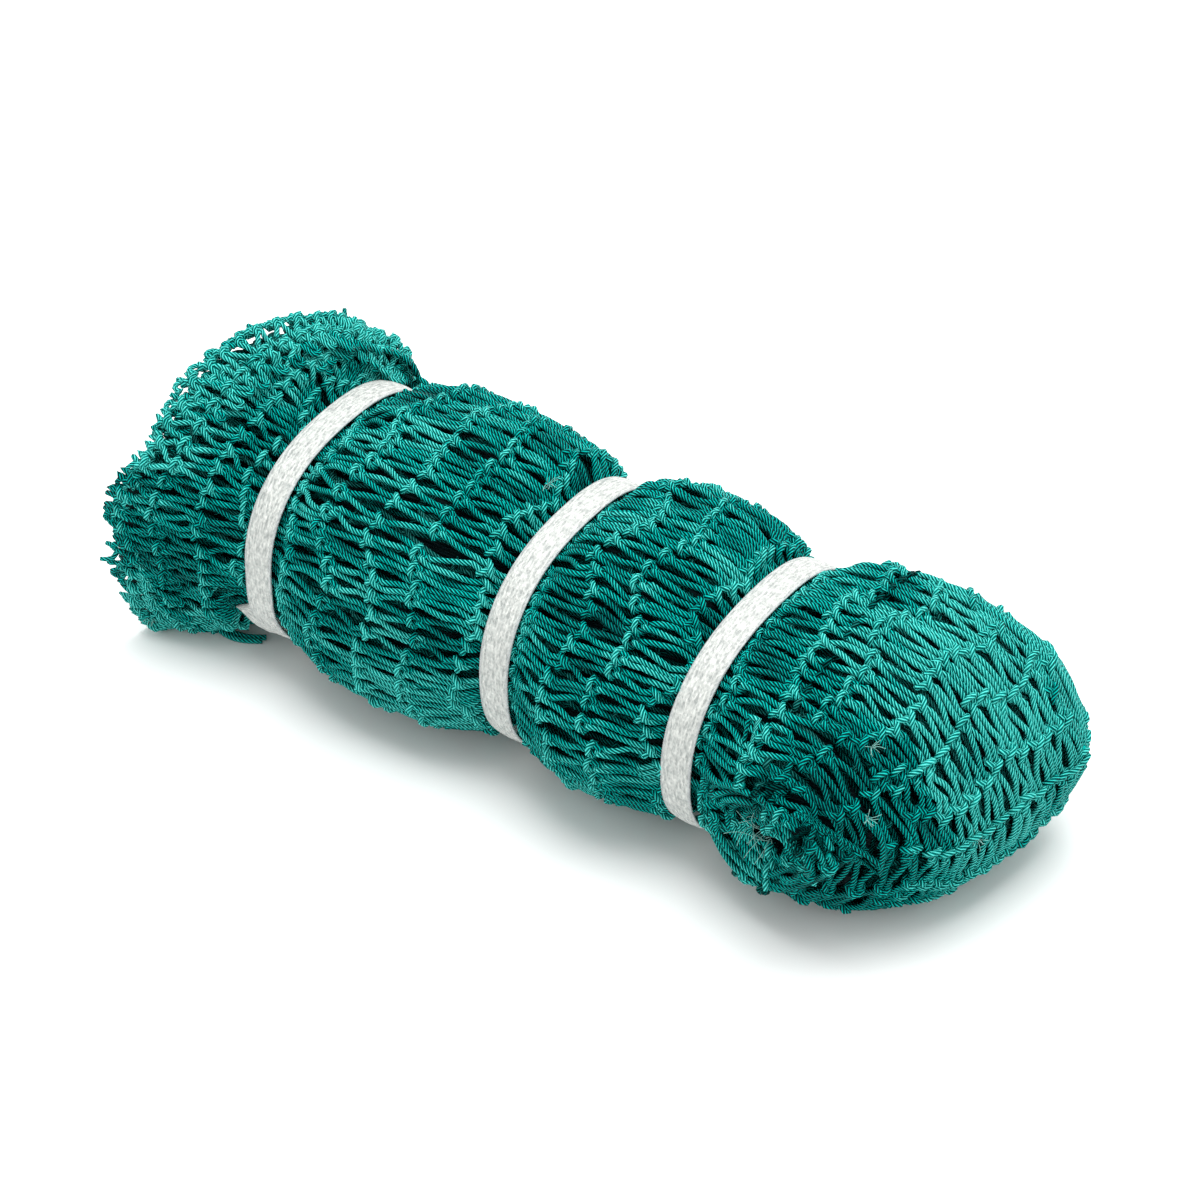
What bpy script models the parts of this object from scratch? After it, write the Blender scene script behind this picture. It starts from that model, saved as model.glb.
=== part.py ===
"""A fishing net, bunched lengthwise into a bundle and pinched by three flat woven tapes.

The bundle lies along X on the floor at z = 0. Its open end, where the net's raw edge flares
out, is at -X. At +X the net is folded back on itself, and its side is rolled into a scroll.
"""

import math

import bpy
from mathutils import Vector

MM = 0.001

# Driving dimensions, in millimetres
TAPE_WIDTH = 12.0
TAPE_THICK = 1.0
GAP = 0.35
TAPE_STATIONS = {"tape_1": -108.0, "tape_2": -4.6, "tape_3": 74.0}
LAP_LENGTH = 34.0
LAP_NARROWER = 0.8
FLOOR_CUT_DEPTH = 30.0

AROUND = 64
STATION_STEP = 6.0

# The bundle's cross-sections, from the open end to the folded end, in millimetres.
# side is how far the middle sits to +Y, low is the height of the underside before the floor
# flattens it, and square is the exponent of the superellipse: 2 is an ellipse. slant is how
# far along +X each millimetre towards +Y lies.
SECTION_COLUMNS = ("x", "wide", "high", "side", "low", "square", "slant")
SECTIONS = (
    (-151.0, 127.0, 117.0, -2.0, -10.0, 2.45, 0.32),
    (-145.0, 129.0, 117.0, -1.0, -9.0, 2.45, 0.28),
    (-135.0, 125.0, 112.0, 0.5, -4.5, 2.4, 0.18),
    (-124.0, 115.0, 102.5, 1.0, 0.6, 2.35, 0.06),
    (-117.0, 103.4, 91.2, 0.0, 4.0, 2.33, 0.0),
    (-115.5, 102.4, 89.6, 0.0, 4.6, 2.33, 0.0),
    (-100.5, 102.4, 89.6, 0.0, 4.6, 2.33, 0.0),
    (-92.0, 113.0, 100.0, 0.0, 1.4, 2.35, 0.0),
    (-76.0, 121.0, 107.0, 0.0, -1.8, 2.3, 0.0),
    (-54.0, 122.0, 108.5, 0.5, -2.6, 2.3, 0.0),
    (-32.0, 118.0, 105.0, 1.0, -1.6, 2.3, 0.0),
    (-18.0, 110.0, 99.0, 1.0, 1.2, 2.35, 0.0),
    (-12.1, 101.6, 90.0, 0.0, 4.6, 2.33, 0.0),
    (2.9, 101.6, 90.0, 0.0, 4.6, 2.33, 0.0),
    (10.0, 112.0, 100.0, 0.5, 1.6, 2.35, 0.0),
    (26.0, 119.0, 105.0, 1.0, -1.8, 2.3, 0.0),
    (44.0, 118.0, 104.5, 1.0, -1.8, 2.3, 0.0),
    (59.0, 111.0, 99.0, 1.0, 1.2, 2.35, 0.0),
    (66.5, 103.0, 89.0, 0.0, 4.4, 2.33, 0.04),
    (81.5, 103.0, 89.0, 0.0, 4.4, 2.33, 0.04),
    (89.0, 112.0, 97.0, 0.5, 1.4, 2.35, 0.04),
    (105.0, 121.0, 101.0, 0.0, -2.2, 2.4, 0.04),
    (123.0, 123.0, 99.0, 0.5, -2.0, 2.5, 0.06),
    (139.0, 119.0, 91.0, 1.5, 0.0, 2.5, 0.10),
    (152.0, 110.0, 77.0, 4.0, 4.5, 2.5, 0.15),
    (163.0, 94.0, 57.0, 6.0, 12.0, 2.5, 0.18),
    (170.0, 76.0, 34.0, 8.0, 22.0, 2.4, 0.20),
    (173.0, 52.0, 14.0, 9.0, 31.0, 2.2, 0.20),
)

# Long folds in the bunched net: how many go round, their depth in millimetres, the turns
# they make per metre of bundle, and where they start, in turns
FOLD_COLUMNS = ("count", "depth", "twist", "start")
FOLDS = (
    (3, 1.3, 0.9, 0.10),
    (5, 0.9, -1.4, 0.35),
    (9, 0.7, 0.6, 0.80),
)
FOLD_FADE = 16.0

# The raw end face is dished between its rim and its middle: how far each ring goes in from
# the rim, as a share of the radius, and how deep it sinks, in millimetres
MOUTH_COLUMNS = ("share", "sunk")
MOUTH = ((0.93, -1.5), (0.80, 3.0), (0.60, 8.0), (0.36, 11.0), (0.14, 9.0))
MOUTH_REACH = 36.0
WAVE_COLUMNS = ("count", "depth", "start")
MOUTH_WAVES = ((2, 3.2, 0.15), (5, 1.8, 0.60), (9, 1.2, 0.30))

# The scroll where the folded net's near side is rolled up
SCROLL_CENTRE = (106.0, -60.0, 44.0)
SCROLL_REACH = 15.0
SCROLL_DEPTH = 6.0
SCROLL_RIM = 2.2

# The free end of the first tape runs out from under its loop: angles round the section in
# degrees, 270 being straight down and 180 the near side, stations off the loop's middle, the
# strip's half width and how far it stands off the net
TAIL_COLUMNS = ("angle", "shift", "half", "off")
TAIL = (
    (262.0, 4.0, 5.5, 0.9),
    (254.0, 1.8, 6.0, 1.0),
    (246.0, -0.8, 6.0, 1.2),
    (238.0, -3.6, 6.0, 1.6),
    (230.0, -6.4, 5.2, 2.2),
    (223.0, -8.8, 3.6, 2.8),
)
TAIL_SKEW = 4.0

NET_COLOUR = (0.0, 0.22, 0.17, 1.0)
TAPE_COLOUR = (0.80, 0.80, 0.78, 1.0)


def rows(columns, table):
    """Gives a table's rows as dictionaries."""
    return [dict(zip(columns, row)) for row in table]


def smooth(value):
    """Eases a value from 0 to 1, flat at both."""
    value = min(max(value, 0.0), 1.0)
    return value * value * (3.0 - 2.0 * value)


def slope_at(table, index, key):
    """The slope of a table's column at one row, flat where the column turns."""
    if index in (0, len(table) - 1):
        return 0.0 if index == 0 else tangent(table, index - 1, key)
    before = tangent(table, index - 1, key)
    after = tangent(table, index, key)
    if before * after <= 0.0:
        return 0.0
    return 2.0 * before * after / (before + after)


def tangent(table, index, key):
    """The slope of the straight line from one row to the next."""
    rise = table[index + 1][key] - table[index][key]
    return rise / (table[index + 1]["x"] - table[index]["x"])


def section_at(x):
    """The section at a station, by monotone cubic curves between the table's rows."""
    table = rows(SECTION_COLUMNS, SECTIONS)
    x = min(max(x, table[0]["x"]), table[-1]["x"])
    index = max(i for i in range(len(table) - 1) if table[i]["x"] <= x)
    span = table[index + 1]["x"] - table[index]["x"]
    t = (x - table[index]["x"]) / span
    found = {"x": x}
    for key in SECTION_COLUMNS[1:]:
        start, end = table[index][key], table[index + 1][key]
        leave = slope_at(table, index, key) * span
        arrive = slope_at(table, index + 1, key) * span
        found[key] = (
            (2 * t**3 - 3 * t**2 + 1) * start
            + (t**3 - 2 * t**2 + t) * leave
            + (3 * t**2 - 2 * t**3) * end
            + (t**3 - t**2) * arrive
        )
    return found


def fold_height(x, turn):
    """How far the long folds push the surface out at a station and a turn round it."""
    clear = min(abs(x - station) for station in TAPE_STATIONS.values())
    fade = smooth((clear - TAPE_WIDTH) / FOLD_FADE)
    height = 0.0
    for fold in rows(FOLD_COLUMNS, FOLDS):
        phase = turn + fold["start"] + fold["twist"] * x * MM
        height += fold["depth"] * math.cos(2 * math.pi * fold["count"] * phase)
    return fade * height


def outline_point(x, turn, out=0.0):
    """A point of the section at a station, pushed out along the section's normal."""
    section = section_at(x)
    half_wide, half_high = section["wide"] / 2, section["high"] / 2
    power = 2.0 / section["square"]
    cos, sin = math.cos(2 * math.pi * turn), math.sin(2 * math.pi * turn)
    y = half_wide * math.copysign(abs(cos) ** power, cos)
    z = half_high * math.copysign(abs(sin) ** power, sin)
    normal = Vector((
        0.0,
        math.copysign(abs(cos) ** (2.0 - power), cos) / half_wide,
        math.copysign(abs(sin) ** (2.0 - power), sin) / half_high,
    )).normalized()
    middle = Vector((x, section["side"], section["low"] + half_high))
    return middle + Vector((y * section["slant"], y, z)) + normal * (out + fold_height(x, turn))


def scrolled(point):
    """Sinks a point into the scroll's eye, or lifts it on the scroll's rim."""
    middle = Vector(SCROLL_CENTRE)
    away = (point - middle).length / SCROLL_REACH
    fade = smooth((point.x - TAPE_STATIONS["tape_3"] - TAPE_WIDTH) / SCROLL_REACH)
    sink = SCROLL_DEPTH * math.exp(-(away**2)) - SCROLL_RIM * math.exp(-((away - 1.7) ** 2) * 3.0)
    return point + Vector((0.0, sink * fade, 0.0))


def stations():
    """The stations of the loft: the table's rows, with steps between those far apart."""
    table = rows(SECTION_COLUMNS, SECTIONS)
    found = [table[0]["x"]]
    for row in table[1:]:
        steps = max(1, round((row["x"] - found[-1]) / STATION_STEP))
        start = found[-1]
        found += [start + (row["x"] - start) * i / steps for i in range(1, steps + 1)]
    return found


def mouth_rings():
    """The rings of the dished open end, from the middle out to just inside the rim."""
    x = SECTIONS[0][0]
    rim = [outline_point(x, i / AROUND) for i in range(AROUND)]
    middle = sum(rim, Vector()) / AROUND
    rings = []
    for row in reversed(rows(MOUTH_COLUMNS, MOUTH)):
        ring = [middle.lerp(point, row["share"]) + Vector((row["sunk"], 0.0, 0.0)) for point in rim]
        rings.append(ring)
    return rings


def waved(point, turn):
    """Makes the open end's edge ragged: near that end, points slide along the bundle."""
    reach = smooth((TAPE_STATIONS["tape_1"] - TAPE_WIDTH - point.x) / MOUTH_REACH)
    slide = 0.0
    for wave in rows(WAVE_COLUMNS, MOUTH_WAVES):
        slide += wave["depth"] * math.cos(2 * math.pi * wave["count"] * (turn + wave["start"]))
    return point + Vector((slide * reach, 0.0, 0.0))


def mesh_object(name, points, faces, colour, roughness):
    """Makes an object from points in millimetres, with its own material."""
    mesh = bpy.data.meshes.new(name)
    mesh.from_pydata([point * MM for point in points], [], faces)
    mesh.validate()
    mesh.shade_smooth()
    obj = bpy.data.objects.new(name, mesh)
    material = bpy.data.materials.new(name)
    material.use_nodes = True
    shader = material.node_tree.nodes["Principled BSDF"]
    shader.inputs["Base Color"].default_value = colour
    shader.inputs["Roughness"].default_value = roughness
    shader.inputs["Metallic"].default_value = 0.0
    mesh.materials.append(material)
    return obj


def add_boolean(obj, other, operation):
    """Adds an exact Boolean modifier."""
    modifier = obj.modifiers.new(other.name, "BOOLEAN")
    modifier.operation = operation
    modifier.solver = "EXACT"
    modifier.object = other


def ring_faces(count, around):
    """Quads between neighbouring closed rings, facing out when the rings go up along X."""
    faces = []
    for ring in range(count - 1):
        for i in range(around):
            after = (i + 1) % around
            low, high = ring * around, (ring + 1) * around
            faces.append((low + i, low + after, high + after, high + i))
    return faces


def build_bundle():
    """The net's outer form: a loft through its sections, closed by a dish and by the fold."""
    rings = mouth_rings()
    rings += [[outline_point(x, i / AROUND) for i in range(AROUND)] for x in stations()]
    points = [waved(scrolled(point), i / AROUND) for ring in rings for i, point in enumerate(ring)]
    faces = ring_faces(len(rings), AROUND)
    last = (len(rings) - 1) * AROUND
    ends = (
        sum(points[:AROUND], Vector()) / AROUND,
        sum(points[last:], Vector()) / AROUND + Vector((1.5, 0.0, 0.0)),
    )
    first_middle, last_middle = len(points), len(points) + 1
    points += ends
    for i in range(AROUND):
        after = (i + 1) % AROUND
        faces.append((first_middle, after, i))
        faces.append((last_middle, last + i, last + after))
    return mesh_object("net_bundle", points, faces, NET_COLOUR, 0.6)


def build_floor_cutter():
    """A slab under the floor, which flattens what the bundle rests on."""
    bpy.ops.mesh.primitive_cube_add(size=1.0)
    cutter = bpy.context.object
    cutter.name = "floor_cutter"
    cutter.scale = (0.6, 0.4, FLOOR_CUT_DEPTH * MM)
    cutter.location.z = -FLOOR_CUT_DEPTH * MM / 2
    cutter.hide_render = True
    cutter.display_type = "WIRE"
    return cutter


def strip(name, pairs, closed):
    """A tape: a strip between two edges, given thickness outwards."""
    points = [point for pair in pairs for point in pair]
    count = len(pairs)
    faces = []
    for i in range(count if closed else count - 1):
        after = (i + 1) % count
        faces.append((2 * i, 2 * after, 2 * after + 1, 2 * i + 1))
    obj = mesh_object(name, points, faces, TAPE_COLOUR, 0.7)
    solid = obj.modifiers.new("thickness", "SOLIDIFY")
    solid.thickness = TAPE_THICK * MM
    solid.offset = 1.0
    solid.use_even_offset = True
    return obj


def loop_pairs(station, turns, out, width):
    """The two edges of a tape that follows the section at a station."""
    half = Vector((width / 2, 0.0, 0.0))
    middles = [outline_point(station, turn, out) for turn in turns]
    return [(middle - half, middle + half) for middle in middles]


def build_loop(name, station):
    """A tape's closed loop round the waist of the bundle."""
    turns = [i / AROUND for i in range(AROUND)]
    return strip(name, loop_pairs(station, turns, GAP, TAPE_WIDTH), closed=True)


def build_lap(name, station):
    """The hidden overlap that closes a tape's loop underneath."""
    section = section_at(station)
    share = LAP_LENGTH / (math.pi * (section["wide"] + section["high"]) / 2)
    steps = 8
    turns = [0.75 + share * (i / steps - 0.5) for i in range(steps + 1)]
    pairs = loop_pairs(station, turns, GAP + 0.7 * TAPE_THICK, TAPE_WIDTH - LAP_NARROWER)
    return strip(name, pairs, closed=False)


def build_tail(name, station):
    """The first tape's free end, which slants out from under its loop."""
    pairs = []
    for row in reversed(rows(TAIL_COLUMNS, TAIL)):
        x = station + row["shift"]
        edges = [
            outline_point(x + side * row["half"], (row["angle"] + side * TAIL_SKEW) / 360.0, row["off"])
            for side in (-1, 1)
        ]
        pairs.append(edges)
    return strip(name, pairs, closed=False)


def centre_on_origin(bundle, objects):
    """Moves everything so that the bundle's box is centred over the origin."""
    depsgraph = bpy.context.evaluated_depsgraph_get()
    corners = [Vector(corner) for corner in bundle.evaluated_get(depsgraph).bound_box]
    for obj in objects:
        for axis in (0, 1):
            places = [corner[axis] for corner in corners]
            obj.location[axis] -= (min(places) + max(places)) / 2


def main():
    """Builds the bundle and its tapes."""
    for obj in list(bpy.data.objects):
        bpy.data.objects.remove(obj)
    scene = bpy.context.scene.collection
    net = bpy.data.collections.new("fishing_net")
    cutters = bpy.data.collections.new("cutters")
    scene.children.link(net)
    scene.children.link(cutters)

    floor = build_floor_cutter()
    for collection in list(floor.users_collection):
        collection.objects.unlink(floor)
    cutters.objects.link(floor)

    bundle = build_bundle()
    net.objects.link(bundle)
    add_boolean(bundle, floor, "DIFFERENCE")

    for name, station in TAPE_STATIONS.items():
        loop = build_loop(name, station)
        net.objects.link(loop)
        build_end = build_tail if name == "tape_1" else build_lap
        end = build_end(f"{name}_end", station)
        end.hide_render = True
        end.display_type = "WIRE"
        cutters.objects.link(end)
        add_boolean(loop, end, "UNION")

    centre_on_origin(bundle, list(net.objects) + list(cutters.objects))


main()
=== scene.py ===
"""Fishing net: a bunched, folded bundle of knotted green net, pinched by three flat tapes.

Laid out as a Blender add-on and run as a script. The net is swept twine: each band of meshes
is one twine that zigzags between two rows of knots, laid over the bundle's solid.
"""

import math

import bpy
import numpy as np
from bpy.props import FloatProperty, FloatVectorProperty, IntProperty, PointerProperty
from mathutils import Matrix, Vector
from mathutils.bvhtree import BVHTree


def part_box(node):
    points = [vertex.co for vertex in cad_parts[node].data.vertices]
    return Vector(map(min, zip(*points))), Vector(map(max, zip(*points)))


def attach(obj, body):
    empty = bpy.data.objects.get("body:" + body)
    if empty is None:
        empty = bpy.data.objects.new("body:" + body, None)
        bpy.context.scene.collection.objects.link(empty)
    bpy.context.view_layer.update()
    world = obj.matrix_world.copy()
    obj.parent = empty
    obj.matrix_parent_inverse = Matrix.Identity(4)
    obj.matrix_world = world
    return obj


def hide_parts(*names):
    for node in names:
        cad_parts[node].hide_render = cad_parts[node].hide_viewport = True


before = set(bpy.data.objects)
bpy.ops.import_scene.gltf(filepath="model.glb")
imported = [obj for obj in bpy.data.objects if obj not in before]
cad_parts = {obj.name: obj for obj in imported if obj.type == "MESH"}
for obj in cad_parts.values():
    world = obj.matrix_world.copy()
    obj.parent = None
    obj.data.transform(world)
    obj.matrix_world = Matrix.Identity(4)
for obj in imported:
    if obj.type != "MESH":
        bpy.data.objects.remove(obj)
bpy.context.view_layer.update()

bl_info = {
    "name": "Bundled fishing net",
    "version": (1, 0, 0),
    "blender": (4, 5, 0),
    "location": "View3D > Sidebar > Net",
    "description": "Builds a strapped bundle of knotted net from its sizes",
    "category": "Object",
}

MM = 0.001
TURN = 2.0 * math.pi
BODY = "root"
NET_NODE = "net_bundle"
TAPE_NODES = ("tape_1", "tape_2", "tape_3")
NET_SLOT = "net_twine"
TAPE_SLOT = "tie_tape"
FIRST_TAPE_IN = 11.0  # millimetres from its box's right side to its middle


# ---- settings ----


def length(name, description, size, least=0.0):
    """A length that can be set, given in millimetres."""
    return FloatProperty(
        name=name, description=description, default=size * MM, min=least * MM, unit="LENGTH",
    )


def colour(name, description, *value):
    """A colour that can be set."""
    return FloatVectorProperty(
        name=name, description=description, subtype="COLOR", size=3, default=value,
        min=0.0, max=1.0,
    )


class NetSizes(bpy.types.PropertyGroup):
    """The net's own sizes."""

    twine: length("Twine", "Diameter of the twine", 2.2, 0.5)
    bar: length("Bar", "Length of a bar, from knot to knot", 20.0, 5.0)
    lines: IntProperty(
        name="Meshes around", description="Meshes side by side round the bundle",
        default=52, min=12,
    )
    sink: length("Depth of the outer net", "How far the outer twine lies inside the form", 1.0)
    under_sink: length("Depth of the inner net", "How far the second layer lies inside it", 4.6)
    core_sink: length("Depth of the core", "How far the packed core lies inside the form", 8.0)


class NetColours(bpy.types.PropertyGroup):
    """The colours of the net and its tapes."""

    twine: colour("Twine", "Main colour of the twine", 0.0, 0.215, 0.187)
    # The light twine colour is a painted highlight: the strands' crowns are coloured lighter where
    # light falls on them.
    light: colour("Light twine", "Colour on the strands' crowns", 0.0, 0.64, 0.565)
    # The shine colour is a painted highlight that stands in for the twine's gloss on its palest
    # crowns.
    shine: colour("Shine", "Colour of the palest strands", 0.26, 0.84, 0.77)
    # The groove colour is painted shade: a dark colour laid between the strands where shade falls.
    groove: colour("Groove", "Colour between the strands", 0.0, 0.014, 0.018)
    # The core colour is painted shade: the packed net deep in the bundle is coloured as dark as the
    # shade it lies in.
    core: colour("Core", "Colour deep in the bundle", 0.0, 0.010, 0.012)
    tape: colour("Tape", "Main colour of the tape", 0.74, 0.755, 0.715)
    tape_edge: colour("Tape edge", "Colour of the tape's selvedge", 0.42, 0.44, 0.46)


class TapeSizes(bpy.types.PropertyGroup):
    """The tapes' sizes."""

    width: length("Width", "Width of the tape", 12.0)
    thick: length("Thickness", "Thickness of the tape", 0.7)


# ---- the net's ground ----


def box_mm(node):
    """A node's lowest and highest corners, in millimetres."""
    return [np.array(corner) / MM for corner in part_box(node)]


def tape_stations():
    """Where the tapes lie along the bundle; the first one's box also holds its free end."""
    first, *others = [box_mm(node) for node in TAPE_NODES]
    return [first[1][0] - FIRST_TAPE_IN] + [(low[0] + high[0]) / 2 for low, high in others]


class Ground:
    """The bundle's solid as the net's ground: it finds the surface along rays, in millimetres."""

    def __init__(self):
        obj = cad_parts[NET_NODE]
        mesh = obj.data
        points = np.empty(len(mesh.vertices) * 3, np.float32)
        mesh.vertices.foreach_get("co", points)
        points = points.reshape(-1, 3) / MM
        faces = [tuple(face.vertices) for face in mesh.polygons]
        self.tree = BVHTree.FromPolygons(points.tolist(), faces)
        self.low_x = points[:, 0].min()

    def hit(self, start, way, reach=400.0):
        """The first point that a ray meets, or None."""
        return self.tree.ray_cast(Vector(start), Vector(way).normalized(), reach)[0]

    def outside(self, middle, way, reach=120.0):
        """The outermost point from a middle in a direction, or None."""
        way = Vector(way).normalized()
        return self.hit(Vector(middle) + way * reach, -way, reach)


class Sheet:
    """A smooth sheet of points, in millimetres, over row numbers and turns round the bundle."""

    PAST_EDGE = 3.0
    LEAST_ROOM = 8.0

    def __init__(self, grid, rows, turns, closed=False):
        self.grid, self.rows, self.turns, self.closed = grid, rows, turns, closed

    def place(self, row, turn):
        """Points on the sheet, between the grid's points where they fall there."""
        grid = self.grid
        r = (np.asarray(row, float) - self.rows[0]) / (self.rows[1] - self.rows[0])
        t = (np.asarray(turn, float) - self.turns[0]) / (self.turns[1] - self.turns[0])
        last_row, last_turn = grid.shape[0] - 1, grid.shape[1] - 1
        r = np.clip(r * last_row, -self.PAST_EDGE, last_row + self.PAST_EDGE)
        t = (t % 1.0 if self.closed else t) * last_turn
        t = np.clip(t, -1.0, last_turn + 1.0)
        i = np.clip(np.floor(r).astype(int), 0, last_row - 1)
        j = np.clip(np.floor(t).astype(int), 0, last_turn - 1)
        u, v = (r - i)[..., None], (t - j)[..., None]
        low = grid[i, j] * (1 - v) + grid[i, j + 1] * v
        high = grid[i + 1, j] * (1 - v) + grid[i + 1, j + 1] * v
        return low * (1 - u) + high * u

    def out(self, row, turn):
        """The sheet's outward directions."""
        along = self.place(row + 0.12, turn) - self.place(row - 0.12, turn)
        across = self.place(row, turn + 0.006) - self.place(row, turn - 0.006)
        return unit(np.cross(across, along))

    def room(self, row, turn):
        """The millimetres in a row and in a turn, at places on the sheet."""
        along = self.place(row + 0.25, turn) - self.place(row - 0.25, turn)
        across = self.place(row, turn + 0.004) - self.place(row, turn - 0.004)
        span = np.linalg.norm(along, axis=-1) / 0.5
        width = np.linalg.norm(across, axis=-1) / 0.008
        return np.maximum(span, self.LEAST_ROOM), np.maximum(width, self.LEAST_ROOM)


def unit(vectors):
    """Vectors at length one."""
    return vectors / np.maximum(np.linalg.norm(vectors, axis=-1, keepdims=True), 1e-9)


def smoothed(grid, times, closed):
    """A grid with the solid's facets smoothed out of its columns."""
    for _ in range(times):
        if closed:
            ring = grid[:, :-1]
            ring = (np.roll(ring, 1, 1) + 2 * ring + np.roll(ring, -1, 1)) / 4
            grid = np.concatenate([ring, ring[:, :1]], 1)
        else:
            middle = (grid[:, :-2] + 2 * grid[:, 1:-1] + grid[:, 2:]) / 4
            grid = np.concatenate([grid[:, :1], middle, grid[:, -1:]], 1)
    return grid


# How far the open end's edge spreads past the solid: turns round it, and millimetres.
FLARE = (
    (0.00, 0.5), (0.08, 2.5), (0.13, 4.5), (0.18, 7.0), (0.22, 10.6), (0.26, 10.0), (0.30, 7.5),
    (0.34, 5.0), (0.38, 3.0), (0.42, -1.0), (0.54, -1.0), (0.58, 1.0), (0.63, 3.5), (0.68, 2.5),
    (0.75, 0.5), (1.00, 0.5),
)


def flared(turn):
    """The open end's spread at turns round it."""
    return np.interp(turn, *np.array(FLARE).T)


def ease(value):
    """Eases values from 0 to 1, flat at both."""
    value = np.clip(value, 0.0, 1.0)
    return value * value * (3 - 2 * value)


class Bundle:
    """The bundle's sheets: its long body, folded end, two curls and open mouth."""

    MIDDLE = np.array([0.0, 0.0, 50.0])
    ROW_BEFORE_TAPE = 8.5
    FOLD_Z = 44.0
    EYE_FROM_FOLD = (10.0, 1.0)
    LEAST_RADIUS = 35.0
    BODY_ROWS = 14
    RIM_ROWS = 3
    RIM_MARGIN = 5.0
    FOLD_MARGIN = 0.035
    EYE_ROWS = 4
    # Each zone of the folded end: where it starts and ends, in turns, and its count of bands.
    ZONES = (
        (0.036, 0.075, 4),
        (0.075, 0.130, 6),
        (0.130, 0.370, 10),
        (0.370, 0.425, 6),
        (0.425, 0.464, 4),
    )
    ZONE_MARGIN = 0.02
    # The curls: degrees at the start and gone round, the hole's radius, how far they reach past
    # it on each side, and how much they draw in and are flattened.
    EYE_START = 165.0
    EYE_SWEEP = 345.0
    EYE_HOLE = 4.0
    EYE_REACH = {-1.0: 24.0, 1.0: 33.0}
    EYE_DRAW_IN = 0.22
    EYE_SQUASH = 0.95
    MOUTH_STEP = 13.0
    MOUTH_LEAN = 1.5
    MOUTH_FLARE = 0.85
    MOUTH_LOWEST = 3.5

    def __init__(self, sizes):
        self.ground = Ground()
        self.bar = sizes.bar / MM
        self.tapes = tape_stations()
        self.first_row_x = self.tapes[0] - self.ROW_BEFORE_TAPE
        self.fold_x = self.first_row_x + (self.BODY_ROWS - self.RIM_ROWS) * self.bar
        self.eye = (self.fold_x + self.EYE_FROM_FOLD[0], self.FOLD_Z + self.EYE_FROM_FOLD[1])
        self.rim = self.find_rim()
        self.body = self.body_sheet()
        self.zones = self.fold_zones()

    def way(self, turn):
        """The direction of a turn round the bundle: 0 is the far side and a quarter is up."""
        return np.array([0.0, math.cos(TURN * turn), math.sin(TURN * turn)])

    def find_rim(self, count=192):
        """How far along the open end's edge lies, at even turns round it."""
        found = []
        for i in range(count):
            way = self.way(i / count)
            x = self.ground.low_x - 1.0
            while True:
                middle = self.MIDDLE + (x, 0, 0)
                point = self.ground.outside(middle, way)
                if point is not None and (np.array(point) - middle) @ way > self.LEAST_RADIUS:
                    break
                x += 1.0
            found.append(x + 1.0)
        ring = np.array(found)
        for _ in range(6):
            ring = (np.roll(ring, 1) + ring + np.roll(ring, -1)) / 3
        return np.append(ring, ring[0])

    def row_x(self, row, rim):
        """The station of a row, given the rim's."""
        if row >= self.RIM_ROWS:
            return self.first_row_x + (row - self.RIM_ROWS) * self.bar
        edge = rim + self.RIM_MARGIN
        return edge + max(row, 0.0) / self.RIM_ROWS * (self.first_row_x - edge)

    def body_sheet(self):
        """The body, from just past the rim to where the net starts over the folded end."""
        rows = np.arange(0.0, self.BODY_ROWS + 0.01, 0.125)
        grid = np.zeros((len(rows), len(self.rim), 3))
        for j, rim in enumerate(self.rim):
            way = self.way(j / (len(self.rim) - 1))
            for i, row in enumerate(rows):
                middle = self.MIDDLE + (self.row_x(row, rim), 0, 0)
                point = self.ground.outside(middle, way)
                grid[i, j] = point if point is not None else grid[i - 1, j]
        slope = (grid[3] - grid[0]) / 3
        grid = np.concatenate([[grid[0] - slope * k for k in (8, 7, 6, 5, 4, 3, 2, 1)], grid])
        rows = (-1.0, float(self.BODY_ROWS))
        return Sheet(smoothed(grid, 3, True), rows, (0.0, 1.0), closed=True)

    def fold_grid(self, columns=80, steps=73, samples=81):
        """The folded end: its lines go on from the body's upper half, over the end and under."""
        turns = np.linspace(self.FOLD_MARGIN, 0.5 - self.FOLD_MARGIN, columns)
        grid = np.zeros((samples, columns, 3))
        for j, turn in enumerate(turns):
            top = self.ground.outside(self.MIDDLE + (self.fold_x, 0, 0), self.way(turn))
            middle = np.array([self.fold_x, top[1], self.FOLD_Z])
            line = []
            for angle in np.linspace(0.25, -0.25, steps) * TURN:
                point = self.ground.outside(middle, (math.cos(angle), 0.0, math.sin(angle)))
                line.append(point if point is not None else line[-1])
            line = np.array(line)
            length = np.append(0.0, np.cumsum(np.linalg.norm(np.diff(line, axis=0), axis=1)))
            even = np.linspace(0.0, length[-1], samples)
            grid[:, j] = np.stack([np.interp(even, length, line[:, k]) for k in range(3)], 1)
        return smoothed(grid, 2, False), turns

    def fold_zones(self):
        """The folded end in zones: the nearer to its sides, the shorter the way over it."""
        grid, turns = self.fold_grid()
        zones = []
        for start, end, count in self.ZONES:
            wider = (start - self.ZONE_MARGIN, end + self.ZONE_MARGIN)
            first, last = np.searchsorted(turns, wider)
            first, last = max(first - 1, 0), min(last, len(turns) - 1)
            rows = (float(self.BODY_ROWS), float(self.BODY_ROWS + count))
            sheet = Sheet(grid[:, first:last + 1], rows, (turns[first], turns[last]))
            zones.append((sheet, start, end, count))
        return zones

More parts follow.
